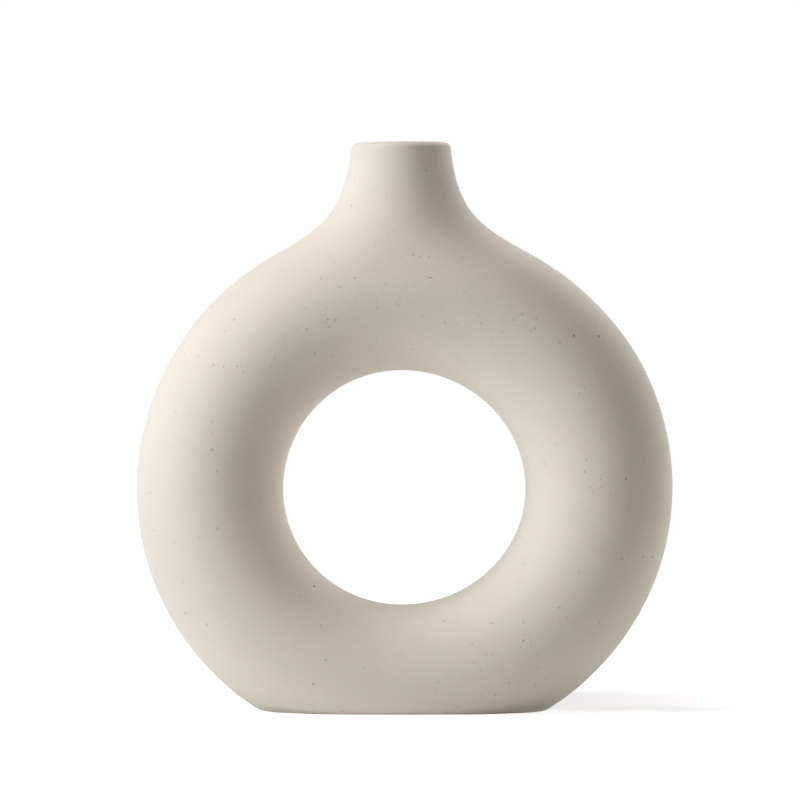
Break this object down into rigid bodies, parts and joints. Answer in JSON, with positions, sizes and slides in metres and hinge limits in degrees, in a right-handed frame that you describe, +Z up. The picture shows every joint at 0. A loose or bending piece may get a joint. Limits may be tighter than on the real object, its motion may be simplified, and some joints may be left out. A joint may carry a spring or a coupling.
{
  "type": "donut vase",
  "caption": "Speckled off-white ceramic vase: an upright hollow ring with a large round opening, a short flared neck and a flat foot.",
  "frame": {"origin": "on the surface that the vase stands on, under the middle of the ring", "axes": "+Z up through the neck, +X across the ring, +Y through the ring's opening towards the back"},
  "size_m": [0.186, 0.051, 0.2003],
  "materials": {
    "stoneware": "matte, fine dark speckle",
    "pad": "soft translucent silicone"
  },
  "bodies": {
    "root": {"vase_body": "stoneware", "foot_pad_front_left": "pad", "foot_pad_front_right": "pad", "foot_pad_back_left": "pad", "foot_pad_back_right": "pad"}
  },
  "joints": []
}
